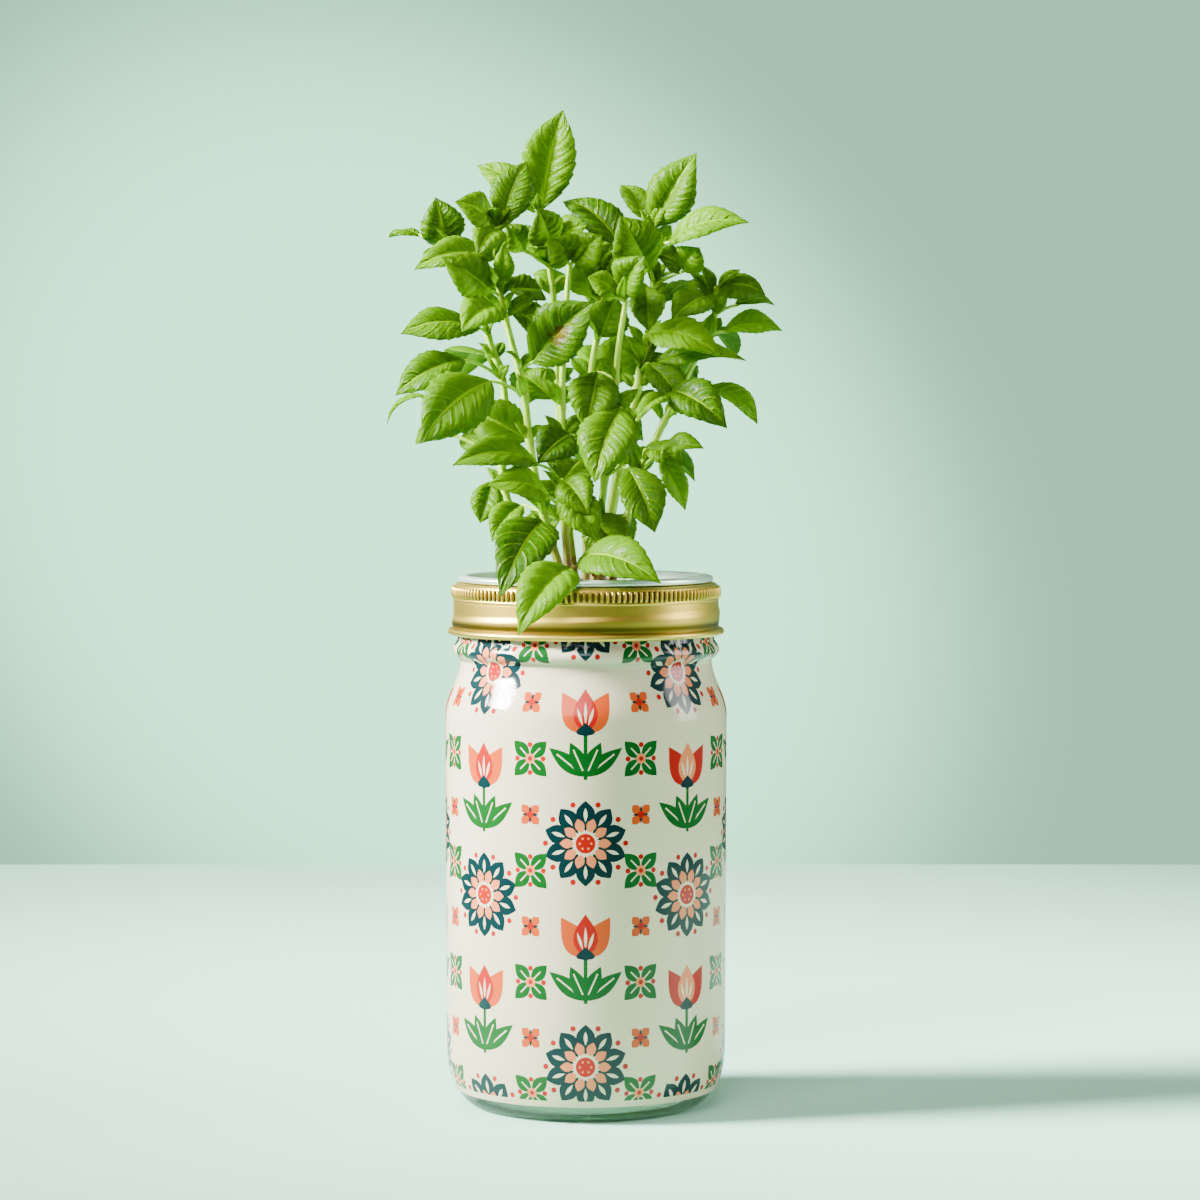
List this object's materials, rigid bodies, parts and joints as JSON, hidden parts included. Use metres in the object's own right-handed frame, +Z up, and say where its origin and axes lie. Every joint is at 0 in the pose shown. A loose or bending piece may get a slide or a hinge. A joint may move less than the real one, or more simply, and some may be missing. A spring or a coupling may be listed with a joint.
{
  "type": "herb garden jar",
  "caption": "Wide-mouth glass jar in a printed film sleeve, with a gold screw band and a steel net cup of growing medium, wick and basil plants, for growing herbs on a windowsill.",
  "frame": {"origin": "on the jar's axis, on the plane that its foot ring stands on", "axes": "+Z up along the jar's axis; the jar's front, as pictured, faces -Y"},
  "size_m": [0.136, 0.1089, 0.338],
  "materials": {
    "jar_glass": "clear, pale green",
    "printed_film": "glossy printed film",
    "seal_rubber": "matte",
    "gold_band": "satin gold",
    "cup_steel": "satin",
    "coir_medium": "rough fibre",
    "wick_felt": "felt",
    "basil": "glossy leaf"
  },
  "bodies": {
    "jar": {"glass_jar": "jar_glass", "printed_sleeve": "printed_film"},
    "seal": {"lid_seal": "seal_rubber"},
    "band": {"screw_band": "gold_band"},
    "cup": {"net_cup": "cup_steel", "grow_medium": "coir_medium", "wick": "wick_felt", "basil_plant_1": "basil", "basil_plant_2": "basil", "basil_plant_3": "basil", "basil_plant_4": "basil", "basil_plant_5": "basil", "basil_plant_6": "basil", "basil_plant_7": "basil", "basil_plant_8": "basil"}
  },
  "joints": [
    {"name": "lid_rise", "type": "slide", "parent": "jar", "child": "seal", "axis": [0, 0, 1], "range_m": [0, 0.00795]},
    {"name": "lid_turn", "type": "hinge", "parent": "seal", "child": "band", "pos_m": [0, 0, 0.17], "axis": [0, 0, 1], "range_deg": [0, 450]},
    {"name": "cup_lift", "type": "slide", "parent": "seal", "child": "cup", "axis": [0, 0, 1], "range_m": [0, 0.18]}
  ],
  "couplings": [
    {"joint": "lid_rise", "follows": "lid_turn", "m_per_rad": 0.0010106}
  ]
}
